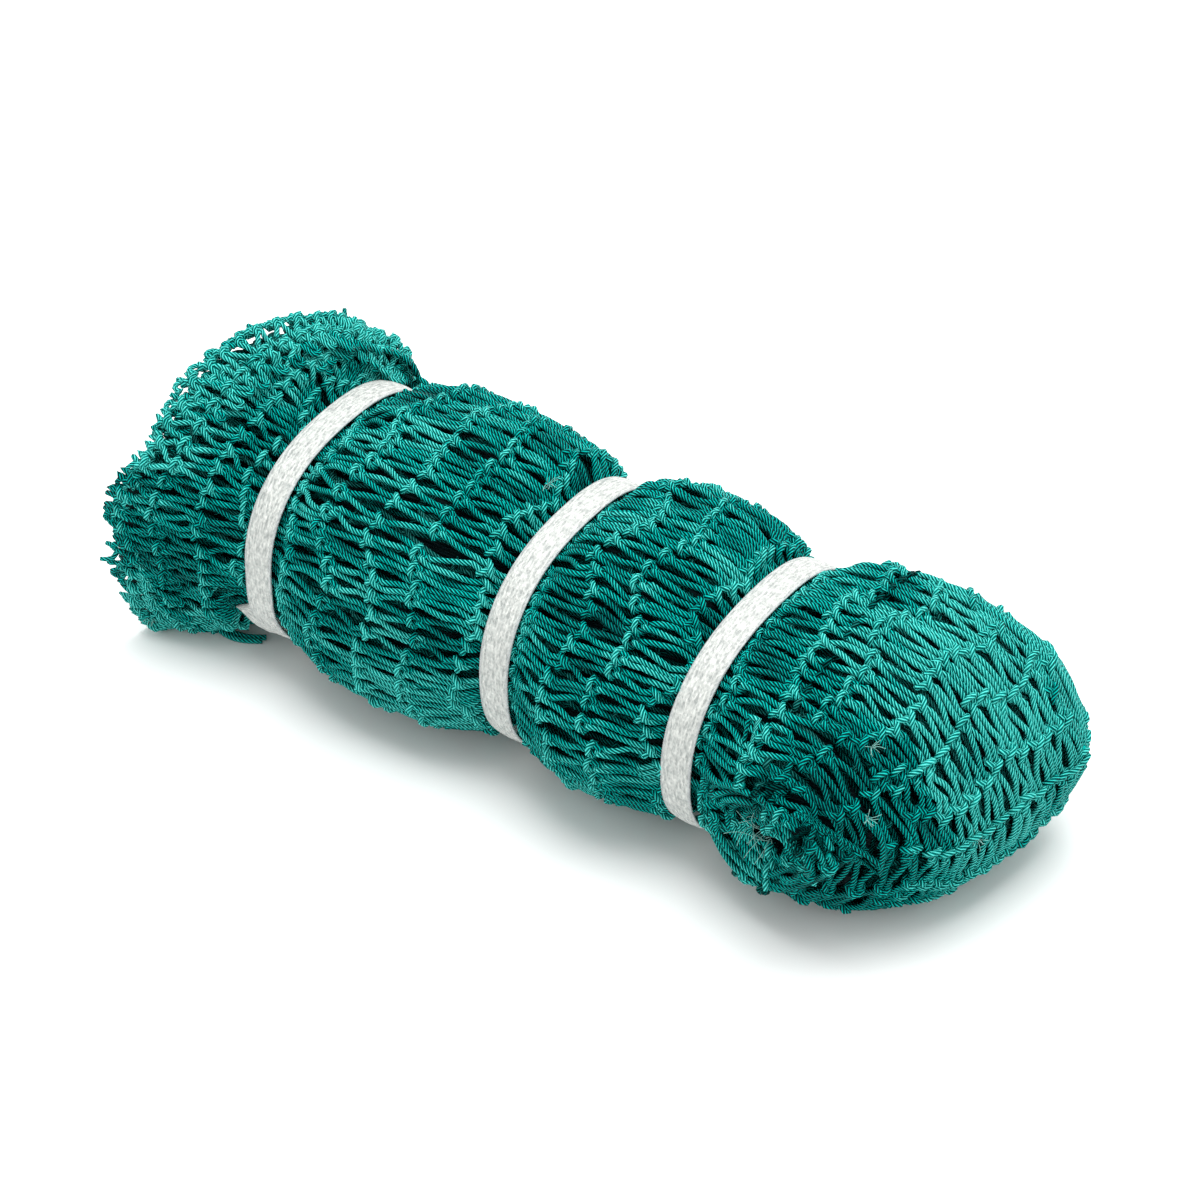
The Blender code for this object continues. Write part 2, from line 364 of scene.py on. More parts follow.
    def eye_sheet(self, side, steps=65, columns=15):
        """The curl at the fold's side: its lines go round the eye and draw in towards it."""
        grid = np.zeros((steps, columns, 3))
        for i in range(steps):
            share = i / (steps - 1)
            angle = math.radians(self.EYE_START - self.EYE_SWEEP * share)
            for j in range(columns):
                across = j / (columns - 1)
                out = 1.0 - across if side < 0 else across
                reach = self.EYE_HOLE + self.EYE_REACH[side] * out
                reach *= 1.0 - self.EYE_DRAW_IN * share
                x = self.eye[0] + reach * math.cos(angle)
                z = self.eye[1] + self.EYE_SQUASH * reach * math.sin(angle)
                grid[i, j] = self.ground.hit((x, side * 120.0, z), (0.0, -side, 0.0), 118.0)
        return Sheet(smoothed(grid, 2, False), (0.0, float(self.EYE_ROWS)), (0.0, 1.0))

    def mouth_sheet(self, share, waves, height, seed):
        """A wavy inner wall of the open end: its net's edge shows, and the rest runs inwards."""
        columns = len(self.rim)
        turns = np.linspace(0.0, 1.0, columns)
        edge = self.body.place(np.zeros(columns), turns)
        middle = edge[:-1].mean(0)
        start = seed * 0.37
        swing = 1 + 0.3 * np.cos(TURN * (turns + seed * 0.6))
        wave = height * np.cos(TURN * (waves * turns + start)) * swing
        away = unit((edge - middle) * (0, 1, 1))
        edge = edge + away * self.MOUTH_FLARE * flared(turns)[:, None]
        ring = middle + (edge - middle) * share + away * wave[:, None]
        ring[:, 2] = np.maximum(ring[:, 2], self.MOUTH_LOWEST)
        sunk = 2.0 + 9.0 * (1.0 - share) ** 0.8 + 2.5 * np.cos(TURN * (3 * turns + seed * 0.23))
        rows = np.linspace(-1.0, 2.0, 13)
        inwards = [np.stack([sunk + row * self.MOUTH_STEP, 0 * turns, 0 * turns], 1) for row in rows]
        grid = np.stack([ring + far - away * row * self.MOUTH_LEAN for far, row in zip(inwards, rows)])
        return Sheet(smoothed(grid, 1, True), (-1.0, 2.0), (0.0, 1.0), closed=True)


# ---- twine ----

LEAD = 8.2
STRANDS = 5.0
LAY_REPEAT = 10 * LEAD

# The sheet bend, in twine diameters: across, along and out. A hitch comes down from the upper
# row's bars and wraps the bight that comes up from the lower row's.
HITCH = np.array([
    (-0.45, 2.30, 0.00), (-0.40, 1.55, -0.15), (-0.20, 0.95, -0.50), (0.12, 0.35, 0.35),
    (0.78, 0.05, 0.68), (1.22, -0.32, 0.00), (0.60, -0.62, -0.75), (-0.50, -0.60, -0.75),
    (-1.18, -0.15, 0.05), (-0.70, 0.38, 0.78), (0.05, 0.86, 0.88), (0.45, 1.50, 0.35),
    (0.50, 2.30, 0.00),
])
BIGHT = np.array([
    (-0.50, -2.30, 0.00), (-0.50, -1.40, 0.00), (-0.56, -0.50, 0.05), (-0.64, 0.30, 0.05),
    (-0.50, 0.95, 0.15), (0.00, 1.28, 0.20), (0.50, 0.95, 0.15), (0.64, 0.30, 0.05),
    (0.56, -0.50, 0.05), (0.50, -1.40, 0.00), (0.50, -2.30, 0.00),
])
PLAIN_HITCH = HITCH[[0, 1, 3, 5, 7, 9, 11]]
PLAIN_BIGHT = BIGHT[[0, 2, 4, 6, 8, 10]]
LOOP = np.array([
    (-0.50, 1.90, 0.00), (-0.75, 0.90, 0.05), (-0.52, 0.15, 0.10), (0.00, -0.15, 0.12),
    (0.52, 0.15, 0.10), (0.75, 0.90, 0.05), (0.50, 1.90, 0.00),
])


class Twine:
    """Gathers swept twine and makes one mesh of it."""

    def __init__(self, radius, sides):
        self.radius, self.sides, self.count = radius, sides, 0
        self.points, self.faces, self.maps, self.tints, self.caps = [], [], [], [], []

    def sweep(self, path, closed, tint, radius=None):
        """Adds a tube along a path in millimetres, with a value for each of its points that sets its
        random tone and its painted shade.
        """
        path = np.asarray(path, float)
        count, sides = len(path), self.sides
        ahead = np.roll(path, -1, 0) - path
        behind = path - np.roll(path, 1, 0)
        if not closed:
            ahead[-1], behind[0] = behind[-1], ahead[0]
        tangent = unit(unit(ahead) + unit(behind))
        normals = carried(tangent)
        if closed:
            normals = untwisted(normals, tangent)
        other = np.cross(tangent, normals)
        angle = TURN * np.arange(sides) / sides
        size = np.broadcast_to(self.radius if radius is None else radius, (count,))[:, None, None]
        cos, sin = np.cos(angle)[:, None], np.sin(angle)[:, None]
        spokes = normals[:, None] * cos + other[:, None] * sin
        self.points.append((path[:, None] + size * spokes).reshape(-1, 3))
        self.tints.append(np.repeat(np.broadcast_to(tint, (count,)), sides))

        rings = count if closed else count - 1
        low = np.arange(rings)[:, None] * sides
        high = ((np.arange(rings) + 1) % count)[:, None] * sides
        spoke, after = np.arange(sides), (np.arange(sides) + 1) % sides
        quads = np.stack([low + spoke, low + after, high + after, high + spoke], -1)
        self.faces.append(quads.reshape(-1, 4) + self.count)
        length = np.append(0.0, np.cumsum(np.linalg.norm(ahead, axis=1)))
        start = length[:rings, None] % LAY_REPEAT
        end = start + np.diff(length)[:rings, None]
        left, right = spoke / sides + 0 * start, (spoke + 1) / sides + 0 * start
        start, end = start + 0 * left, end + 0 * left
        corners = [(left, start), (right, start), (right, end), (left, end)]
        self.maps.append(np.stack([np.stack(c, -1) for c in corners], -2).reshape(-1, 2))
        if not closed:
            last = self.count + (count - 1) * sides
            self.caps.append(list(range(self.count + sides - 1, self.count - 1, -1)))
            self.caps.append(list(range(last, last + sides)))
        self.count += count * sides

    def build(self, name):
        """Makes the mesh object, in metres."""
        points = np.concatenate(self.points) * MM
        faces = np.concatenate(self.faces).tolist() + self.caps
        mesh = bpy.data.meshes.new(name)
        mesh.from_pydata(points.tolist(), [], faces)
        mesh.shade_smooth()
        lay = np.concatenate(self.maps)
        spare = np.zeros((sum(len(cap) for cap in self.caps), 2))
        layer = mesh.uv_layers.new(name="lay")
        layer.uv.foreach_set("vector", np.concatenate([lay, spare]).astype(np.float32).ravel())
        # Per point: random tone and a painted shade, lighter where the twine lies higher.
        tint = mesh.attributes.new("tint", "FLOAT", "POINT")
        tint.data.foreach_set("value", np.concatenate(self.tints).astype(np.float32))
        return new_object(name, mesh)


def carried(tangent):
    """Normals carried along a path with no twist of their own."""
    first = np.cross(tangent[0], (0.31, 0.17, 0.93))
    if np.linalg.norm(first) < 0.1:
        first = np.cross(tangent[0], (0.9, 0.2, 0.1))
    normals = [Vector(unit(first))]
    ways = [Vector(way) for way in tangent]
    for before, after in zip(ways, ways[1:]):
        normal = before.rotation_difference(after) @ normals[-1]
        normal -= after * normal.dot(after)
        normals.append(normal.normalized())
    return np.array(normals)


def untwisted(normals, tangent):
    """Shares out the turn by which a closed path's normals miss their start."""
    last, first = Vector(tangent[-1]), Vector(tangent[0])
    met = last.rotation_difference(first) @ Vector(normals[-1])
    side = first.cross(Vector(normals[0]))
    miss = math.atan2(met.dot(side), met.dot(Vector(normals[0])))
    angle = -miss * np.arange(len(normals))[:, None] / len(normals)
    return normals * np.cos(angle) + np.cross(tangent, normals) * np.sin(angle)


class Net:
    """A layer of knotted net on a sheet: where its knots sit and how its twines run."""

    FLARE_ROWS = 2.6
    PINCH = 1.6
    PINCH_REACH = 11.0
    TAPE_REACH = 9.2
    TAPE_TOP = -1.7
    UNDER_TAPE = 3.2
    TAIL_HOLLOW = -4.8
    EYE_PRESS = 3.5
    EYE_RADIUS = 25.0
    MESH_PER_TWINE = 2.45
    KNOT_SPAN = 17.0
    KNOT_TILT = 0.16
    ROWS_STRAY = (0.20, 0.05)  # what the slow wave does, then what chance does
    TURNS_STRAY = (0.55, 0.16)
    LIFTS_STRAY = (0.45, 0.35)
    RAGGED_EDGE = 0.11
    BAR_SWAY = 0.6
    BAR_LIFT = 1.3
    BAR_WOBBLE = 0.07
    BAR_DENTS = (-2.4, 1.1)

    def __init__(self, sheet, lines, depth, seed, twine, shift=0.0, slack=1.0, plain=False,
                 wander=1.0, eye=False, flare=0.0, swell=0.0):
        self.sheet, self.lines, self.depth = sheet, lines, depth
        self.slots = 2 * lines
        self.twine, self.shift, self.slack, self.plain = twine, shift, slack, plain
        self.wander, self.at_eye, self.flare, self.swell = wander, eye, flare, swell
        self.eye = bundle().eye
        self.per_turn = float(sheet.room(np.mean(sheet.rows), np.mean(sheet.turns))[1])
        self.tapes = tape_stations()
        self.rng = np.random.default_rng(seed)
        self.loose = self.rng.normal(size=(40, self.slots, 6)).clip(-2, 2)
        self.drift = self.rng.uniform(size=(6, 4))

    def wave(self, row, turn, which, around, rowwise):
        """A slow wave over the net, from -1 to 1."""
        a, b, c, _ = self.drift[which]
        first = np.sin(TURN * (around * turn + rowwise * row * (0.6 + 0.8 * b) + a))
        second = np.sin(TURN * ((around + 2) * turn - rowwise * row * (0.5 + c) + b))
        return 0.6 * first + 0.4 * second

    def knots(self, row, slots):
        """Where a row's knots sit: rows, turns, lifts and their own random numbers."""
        loose = self.loose[int(row) % 40, slots % self.slots]
        turn = slots / self.slots
        ragged = self.RAGGED_EDGE * loose[:, 4] if row < 0 else 0.0
        slow, chance = self.ROWS_STRAY
        stray = slow * self.wave(row, turn, 0, 6, 0.11) + chance * loose[:, 0]
        rows = row + self.shift + ragged + self.wander * stray
        slow, chance = self.TURNS_STRAY
        stray = slow * self.wave(row, turn, 1, 7, 0.07) + chance * loose[:, 1]
        turns = turn + self.wander * stray / self.slots
        slow, chance = self.LIFTS_STRAY
        lifts = slow * self.wave(row, turn, 2, 5, 0.23) + chance * loose[:, 2]
        lifts += self.flare * ease((self.FLARE_ROWS - rows) / self.FLARE_ROWS) * flared(turn)
        share = (rows - self.sheet.rows[0]) / (self.sheet.rows[1] - self.sheet.rows[0])
        full = ease(share / 0.25) * ease((1.0 - share) / 0.35)
        lifts += self.swell * full * np.sin(1.5 * TURN * turn)
        return rows, turns, lifts - self.depth, loose

    def pressed(self, lifts, points):
        """Lifts with the net pulled in under the tapes, the free end and the curls."""
        x, y, z = points.T
        for station in self.tapes:
            aside = np.abs(x - station)
            lifts = lifts - self.PINCH * ease((self.PINCH_REACH - aside) / 5.0)
            top = self.TAPE_TOP + 6.0 * (1.0 - ease((self.TAPE_REACH - aside) / 2.2))
            low_top = top - self.UNDER_TAPE * ease((50.0 - z) / 12.0)
            lifts = np.where(aside < self.TAPE_REACH, np.minimum(lifts, low_top), lifts)
        beside = self.tapes[0] - x
        at_tail = (beside > 4.0) & (beside < 21.0) & (y < -25.0) & (z < 42.0)
        lifts = np.where(at_tail, np.minimum(lifts, self.TAIL_HOLLOW), lifts)
        if not self.at_eye:
            away = np.hypot(x - self.eye[0], z - self.eye[1])
            sides = np.abs(y) > 20.0
            lifts = lifts - self.EYE_PRESS * ease((self.EYE_RADIUS - away) / 7.0) * sides
        return lifts

    def tied(self, shape, row, slots, turned):
        """Lays a knot's part at each of a row's knots; every other row shows the knots' backs.

        Gives rows, turns and lifts on the sheet for each of the part's points.
        """
        rows, turns, lifts, loose = self.knots(row, slots)
        span, width = self.sheet.room(rows, turns)
        flip = turned and int(row) % 2 == 1
        form = shape * (-1, 1, -1) if flip else shape
        form = form[::-1] if flip else form
        mesh = width / self.lines / (self.MESH_PER_TWINE * self.twine)
        long = self.twine * np.clip(span / self.KNOT_SPAN, 0.4, 1.0)[:, None]
        wide = self.twine * np.clip(mesh, 0.72, 1.12)[:, None]
        tilt = self.KNOT_TILT * loose[:, 3:4]
        across, along, out = form.T
        a = wide * (across + along * np.sin(tilt))
        s = long * (along - across * np.sin(tilt))
        return np.stack([
            rows[:, None] + s / span[:, None],
            turns[:, None] + a / width[:, None],
            lifts[:, None] + self.twine * out + 0 * a,
        ], -1)

    def band(self, row, slots, closed, low="hitch", high="bight", low_row=None):
        """The path of one twine that zigzags between a row and the next."""
        shapes = {
            "hitch": PLAIN_HITCH if self.plain else HITCH,
            "bight": PLAIN_BIGHT if self.plain else BIGHT,
            "loop": LOOP,
            "closing": HITCH[::-1] * (1, -1, 1),
        }
        lower, upper = slots[slots % 2 == row % 2], slots[slots % 2 != row % 2]
        low_row = row if low_row is None else low_row
        low_tied = self.tied(shapes[low], low_row, lower, low == "hitch")
        high_tied = self.tied(shapes[high], row + 1, upper, True)
        at = {int(slot): low_tied[i] for i, slot in enumerate(lower)}
        at.update({int(slot): high_tied[i] for i, slot in enumerate(upper)})
        steps = np.array((0.3, 0.7) if self.plain else (0.2, 0.4, 0.6, 0.8))[:, None]
        bow = np.sin(math.pi * steps)[:, 0]
        path = []
        for k, slot in enumerate(slots):
            path.append(at[int(slot)])
            if k + 1 < len(slots) or closed:
                start, end = at[int(slot)][-1], at[int(slots[(k + 1) % len(slots)])][0].copy()
                end[1] += round(start[1] - end[1])
                bar = start + (end - start) * steps
                share = abs(end[0] - start[0]) * self.slack
                wobble = self.rng.normal(size=(4, 2))[:len(steps)] * self.BAR_WOBBLE
                sway = self.BAR_SWAY * self.rng.normal() * bow * share
                bar[:, 1] += (sway + wobble[:, 0]) / self.per_turn
                dent = np.clip(self.rng.normal() - 0.3, *self.BAR_DENTS)
                bar[:, 2] += self.BAR_LIFT * dent * bow * share + wobble[:, 1]
                path.append(bar)
        path = np.concatenate(path)
        # How high the twine lies in its layer; it sets a painted shade, lighter higher up and darker
        # lower down.
        self.height = np.clip((path[:, 2] + self.depth) / 1.6, -1.0, 1.0)
        return self.laid(path)

    def laid(self, path):
        """Places on the sheet as points in millimetres, pulled in under the tapes."""
        rows, turns, lifts = path.T
        points = self.sheet.place(rows, turns)
        lifts = self.pressed(lifts, points)
        return points + self.sheet.out(rows, turns) * lifts[:, None]


FLOOR_GAP = 0.12


def laid_on_floor(path, radius):
    """Keeps a path's twine above the floor."""
    path = path.copy()
    path[:, 2] = np.maximum(path[:, 2], radius + FLOOR_GAP)
    return path


def new_object(name, mesh):
    """Makes an object of a mesh and links it to the scene."""
    obj = bpy.data.objects.new(name, mesh)
    bpy.context.scene.collection.objects.link(obj)
    return obj


# ---- finishes ----


class Value:
    """A shader socket that can be used in plain expressions."""

    def __init__(self, finish, socket):
        self.finish = finish
        self.socket = socket

    def maths(self, operation, *others):
        inputs = dict(enumerate([self, *others]))
        return self.finish.node("ShaderNodeMath", {"operation": operation}, inputs)

    def __add__(self, other):
        return self.maths("ADD", other)

    __radd__ = __add__

    def __mul__(self, other):
        return self.maths("MULTIPLY", other)

    def __sub__(self, other):
        return self.maths("SUBTRACT", other)

    def sine(self):
        return self.maths("SINE")

    def held(self):
        """The value kept between 0 and 1."""
        return self.maths("MAXIMUM", 0.0).maths("MINIMUM", 1.0)


class Finish:
    """A material and the nodes that make it."""

    def __init__(self, name, roughness, sheen=0.0, specular=0.5):
        self.material = bpy.data.materials.new(name)
        self.material.use_nodes = True
        self.tree = self.material.node_tree
        self.shader = self.tree.nodes["Principled BSDF"]
        base = {"Roughness": roughness, "Sheen Weight": sheen, "Specular IOR Level": specular}
        for key, value in base.items():
            self.shader.inputs[key].default_value = value

    def node(self, kind, settings=None, inputs=None, output=0):
        """Adds a node with its settings and its sockets' values or links, and gives an output."""
        node = self.tree.nodes.new(kind)
        for key, value in (settings or {}).items():
            setattr(node, key, value)
        for key, value in (inputs or {}).items():
            self.join(value, node.inputs[key])
        return Value(self, node.outputs[output])

    def join(self, value, socket):
        """Sets a socket to a number or colour, or links it."""
        if isinstance(value, Value):
            self.tree.links.new(value.socket, socket)
        else:
            socket.default_value = value

    def blend(self, share, first, second):
        """Mixes two colours."""
        first, second = [(*c, 1.0) if isinstance(c, tuple) else c for c in (first, second)]
        inputs = {0: share, 6: first, 7: second}
        return self.node("ShaderNodeMix", {"data_type": "RGBA"}, inputs, 2)

    def place(self):
        """The place on the object."""
        return self.node("ShaderNodeTexCoord", output="Object")

    def lay(self):
        """The piece's own map: around or across, and along in millimetres."""
        lay = self.node("ShaderNodeUVMap", {"uv_map": "lay"})
        parts = self.node("ShaderNodeSeparateXYZ", None, {0: lay})
        return parts, Value(self, parts.socket.node.outputs[1])

    def noise(self, vector, scale, detail=2.0):
        """A soft random value."""
        inputs = {"Vector": vector, "Scale": scale, "Detail": detail}
        return self.node("ShaderNodeTexNoise", None, inputs)

    def stretched(self, across, along, third, detail):
        """A soft random value over three plain values."""
        parts = self.node("ShaderNodeCombineXYZ", None, {0: across, 1: along, 2: third})
        return self.noise(parts, 1.0, detail)

    def look(self, colour, rough):
        """Gives the material its colour and its roughness."""
        self.join(colour, self.shader.inputs["Base Color"])
        self.join(rough, self.shader.inputs["Roughness"])

    def bump(self, height, distance):
        """Raises the surface by a height from 0 to 1 times a distance in metres."""
        inputs = {"Height": height, "Distance": distance, "Strength": 1.0}
        self.join(self.node("ShaderNodeBump", None, inputs), self.shader.inputs["Normal"])


# Colours that no setting changes: of the fuzz, of the painted shade in the gaps of the tapes' weave
# and of the floor.
FUZZ_DARK = (0.03, 0.30, 0.26)
FUZZ_PALE = (0.30, 0.62, 0.56)
TAPE_GAP_SHADE = (0.29, 0.31, 0.30)
FLOOR_DARK = (0.86, 0.875, 0.87)
FLOOR_PALE = (0.88, 0.895, 0.89)


def settings_of(group):
    """The names of a group's own settings."""
    return [name for name in group.bl_rna.properties.keys() if name not in ("rna_type", "name")]


def colours():
    """The net's colours as plain values."""
    chosen = bpy.context.scene.net_colours
    return {name: tuple(getattr(chosen, name)) for name in settings_of(chosen)}


def twine_finish(name="net twine", depth=1.0):
    """Hard-laid polyethylene twine: slanting ridges, with painted shade in their grooves and painted
    highlights on their crowns that stand in for a waxy gloss.

    Twine that lies deeper in the bundle is painted in shade: its colours and its specular level are
    scaled down by the depth.
    """
    if name in bpy.data.materials:
        return bpy.data.materials[name]
    # The depth scales every colour down: a painted shade for the deeper twine.
    tone = {key: tuple(depth * c for c in value) for key, value in colours().items()}
    twine = Finish(name, 0.42, specular=0.03 * depth)
    around, along = twine.lay()
    place = twine.place()
    wander = twine.noise(place, 160.0) - 0.5
    lay = around * STRANDS - along * (STRANDS / LEAD) + wander * 0.4
    ridge = (lay * TURN).sine() * 0.5 + 0.5
    fibre = twine.stretched(lay * 6.0, along * 0.35, around * 3.0, 3.0)
    # The mesh's per-point value: random tone and the painted height shade.
    tint = twine.node("ShaderNodeAttribute", {"attribute_name": "tint"}, output="Fac")
    broad = twine.noise(place, 28.0)
    # How lit each place is painted: from the twist's ridges, the fibre, random tone and the twine's
    # painted height shade.
    painted_light_mask = (ridge * 0.95 + fibre * 0.35 - 0.26 + (broad - 0.5) * 0.4 + tint * 0.26).held()
    # The lowest part of the mask takes the groove colour, a painted shade.
    body = twine.blend((painted_light_mask * 1.8).held(), tone["groove"], tone["twine"])
    # Higher in the mask the crowns take the light twine colour, a painted highlight.
    body = twine.blend(((painted_light_mask - 0.45) * 1.8).held(), body, tone["light"])
    # The top of the mask takes the shine colour, a painted highlight in place of gloss.
    body = twine.blend(((painted_light_mask - 0.86) * 3.0).held(), body, tone["shine"])
    twine.look(body, 0.30 + fibre * 0.22)
    twine.bump(ridge * 0.85 + fibre * 0.2, 0.0006)
    return twine.material


def fuzz_finish():
    """Pale frayed filaments."""
    if "frayed fibre" in bpy.data.materials:
        return bpy.data.materials["frayed fibre"]
    fuzz = Finish("frayed fibre", 0.5, sheen=0.3)
    soft = fuzz.noise(fuzz.place(), 900.0)
    fuzz.look(fuzz.blend(soft, FUZZ_DARK, FUZZ_PALE), 0.4 + soft * 0.3)
    return fuzz.material


def core_finish():
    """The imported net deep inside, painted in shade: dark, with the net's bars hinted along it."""
    core = Finish("packed net", 0.7, specular=0.2)
    place = core.place()
    parts = core.node("ShaderNodeSeparateXYZ", None, {0: place})
    height = Value(core, parts.socket.node.outputs[2])
    side = Value(core, parts.socket.node.outputs[1])
    wander = core.noise(place, 60.0)
    bars = (height * 1900.0 + side * 1700.0 + wander * 9.0).sine() * 0.5 + 0.5
    deep = core.noise(place, 240.0)
    tone = colours()
    share = (bars * 0.6 + deep * 0.6 - 0.25).held()
    # Both colours here are painted shade: the core colour, with the groove colour on the hinted bars.
    core.look(core.blend(share, tone["core"], tone["groove"]), 0.6 + deep * 0.3)
    core.bump(bars * 0.7 + deep * 0.3, 0.0015)
    return core.material


def tape_finish():
    """Woven white tape: small slanting floats with painted shade in the weave's gaps, a faint
    lengthwise rib and greyer selvedges.
    """
    if "woven tape" in bpy.data.materials:
        return bpy.data.materials["woven tape"]
    tone = colours()
    tape = Finish("woven tape", 0.45, sheen=0.25, specular=0.4)
    across, along = tape.lay()
    place = tape.place()
    wander = tape.noise(place, 260.0) - 0.5
    mirrored = (across * 2.0 - 1.0).maths("ABSOLUTE")
    rib = (across * (TURN * 9.0) + wander * 3.5 + along * 0.35).sine() * 0.5 + 0.5
    pick = (along * (TURN / 1.6) + rib * 2.2 + wander * 2.0).sine() * 0.5 + 0.5
    fleck = tape.stretched(across * 12.0, along * 0.32, wander * 2.0, 3.0)
    # Where the weave mask is low, the tape takes the painted shade of the weave's gaps, spread as soft
    # random flecks.
    weave = (rib * 0.14 + pick * 0.12 + fleck * 2.10 - 0.72).held()
    edge = ((mirrored - 0.80) * 6.0).held()
    body = tape.blend(weave, TAPE_GAP_SHADE, tone["tape"])
    tape.look(tape.blend(edge * 0.6, body, tone["tape_edge"]), 0.30 + fleck * 0.3)
    tape.bump(weave, 0.00045)
    return tape.material


def floor_finish():
    """A plain white floor with the faintest grain."""
    floor = Finish("plain floor", 0.6, specular=0.15)
    grain = floor.noise(floor.place(), 3.0)
    floor.look(floor.blend(grain, FLOOR_DARK, FLOOR_PALE), 0.6 + grain * 0.1)
    return floor.material


# ---- pieces ----

MADE = {}


def bundle():
    """The bundle's sheets, made once."""
    if "bundle" not in MADE:
        MADE["bundle"] = Bundle(bpy.context.scene.net_sizes)
    return MADE["bundle"]


def finished(obj, material, slot, *nodes):
    """Gives a piece its material and its body, and hides the nodes that it stands for; slot is not
    used.
    """
    obj.data.materials.append(material)
    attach(obj, BODY)
    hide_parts(*nodes)


def twine_mm():
    """The twine's diameter in millimetres."""
    return bpy.context.scene.net_sizes.twine / MM


TINT_EVERY = 40
TINT_DRIFT = 0.4
# How strongly the twine is painted lighter where it lies higher and darker where it lies lower: a
# painted shade.
SHADE_BY_HEIGHT = 0.9


def lay_band(twine, net, radius, row, slots, closed, **knots):
    """Sweeps one band; its tone drifts along it at random, and a painted shade makes it lighter where
    it lies higher and darker where it lies lower.
    """
    path = laid_on_floor(net.band(row, slots, closed, **knots), radius)
    count = len(path)
    tints = net.rng.normal(size=max(count // TINT_EVERY, 3))
    drift = np.interp(np.linspace(0, 1, count), np.linspace(0, 1, len(tints)), tints)
    twine.sweep(path, closed, TINT_DRIFT * drift + SHADE_BY_HEIGHT * net.height)


def lay_body(twine, net, bands, radius):
    """Sweeps the closed bands round the body; the first one makes the open end's edge."""
    for row in bands:
        edge = {"low": "loop", "low_row": -0.2} if row < 0 else {}
        lay_band(twine, net, radius, row, np.arange(net.slots), True, **edge)


def lay_fold(twine, radius, *settings, **options):
    """Sweeps the open bands over the folded end, zone by zone."""
    for sheet, start, end, count in bundle().zones:
        net = Net(sheet, *settings, **options)
        more = 2 if net.plain else 1
        low_more = more if start > Bundle.ZONES[0][0] else 0
        high_more = more if end < Bundle.ZONES[-1][1] else 0
        first, last = math.ceil(start * net.slots), math.ceil(end * net.slots)
        slots = np.arange(first - low_more, last + high_more)
        for row in range(Bundle.BODY_ROWS, Bundle.BODY_ROWS + count):
            last_row = row == Bundle.BODY_ROWS + count - 1
            high = "closing" if last_row else "bight"
            lay_band(twine, net, radius, row, slots, False, high=high)


FOLD_SWELL = 3.5
OUTER = {
    "net_outer_a": range(-1, 3),
    "net_outer_b": range(3, 7),
    "net_outer_c": range(7, 11),
    "net_outer_d": range(11, 14),
}
INNER = {"net_inner_a": range(-1, 7), "net_inner_b": range(7, 14)}
INNER_LAY = {"shift": 0.45, "slack": 1.6, "plain": True}
# The inner net's colours are scaled down to this share: a painted shade.
INNER_PAINTED_SHADE = 0.28


def lay_layer(groups, fold_name, depth, seed, sides, gap, finish, **options):
    """Lays a whole layer: the bands round the body in groups, and the folded end."""
    sizes, size = bpy.context.scene.net_sizes, twine_mm()
    body = Net(bundle().body, sizes.lines, depth, seed, size, flare=1.0, **options)
    for name, bands in groups.items():
        twine = Twine(size / 2, sides)
        lay_body(twine, body, bands, size / 2 + gap)
        finished(twine.build(name), finish, NET_SLOT, NET_NODE)
    twine = Twine(size / 2, sides)
    lay_fold(twine, size / 2 + gap, sizes.lines, depth, seed, size, swell=FOLD_SWELL, **options)
    finished(twine.build(fold_name), finish, NET_SLOT, NET_NODE)


class NET_OT_outer(bpy.types.Operator):
    """Lays the outer layer of knotted net over the bundle"""

    bl_idname = "net.outer"
    bl_label = "Outer net"

    def execute(self, context):
        depth = context.scene.net_sizes.sink / MM
        lay_layer(OUTER, "net_outer_e", depth, 11, 6, 0.0, twine_finish())
        return {"FINISHED"}


class NET_OT_inner(bpy.types.Operator):
    """Lays a second layer of net under the first"""

    bl_idname = "net.inner"
    bl_label = "Inner net"

    def execute(self, context):
        depth = context.scene.net_sizes.under_sink / MM
        # The inner net takes a darker copy of the twine's finish, a painted shade.
        finish = twine_finish("inner twine", INNER_PAINTED_SHADE)
        lay_layer(INNER, "net_inner_c", depth, 23, 5, 2.0, finish, **INNER_LAY)
        return {"FINISHED"}


CORE_FLOOR = 3.0 * MM


class NET_OT_core(bpy.types.Operator):
    """Fills the middle of the bundle with packed net"""

    bl_idname = "net.core"
    bl_label = "Packed core"

    def execute(self, context):
        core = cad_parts[NET_NODE].copy()
        core.data = core.data.copy()
        core.name = core.data.name = "net_core"
        for key in list(core.keys()):
            del core[key]
        core.data.materials.clear()
        context.scene.collection.objects.link(core)
        core.hide_render = core.hide_viewport = False
        bpy.ops.object.select_all(action="DESELECT")
        core.select_set(True)
        context.view_layer.objects.active = core
        bpy.ops.object.mode_set(mode="EDIT")
        bpy.ops.mesh.select_all(action="SELECT")
        bpy.ops.mesh.remove_doubles(threshold=1e-5)
        bpy.ops.transform.shrink_fatten(value=-context.scene.net_sizes.core_sink)
        bpy.ops.object.mode_set(mode="OBJECT")
        for vertex in core.data.vertices:
            vertex.co.z = max(vertex.co.z, CORE_FLOOR)
        bpy.ops.object.shade_smooth()
        finished(core, core_finish(), NET_SLOT, NET_NODE)
        return {"FINISHED"}


MOUTH_COLUMNS = ("share", "waves", "height", "lines")
MOUTH = (
    (0.95, 8, 1.2, 54),
    (0.87, 7, 2.6, 50),
    (0.77, 9, 3.2, 48),
    (0.65, 7, 3.6, 44),
    (0.52, 6, 3.8, 38),
    (0.39, 5, 3.6, 30),
    (0.26, 4, 3.0, 22),
    (0.12, 3, 1.5, 12),
)


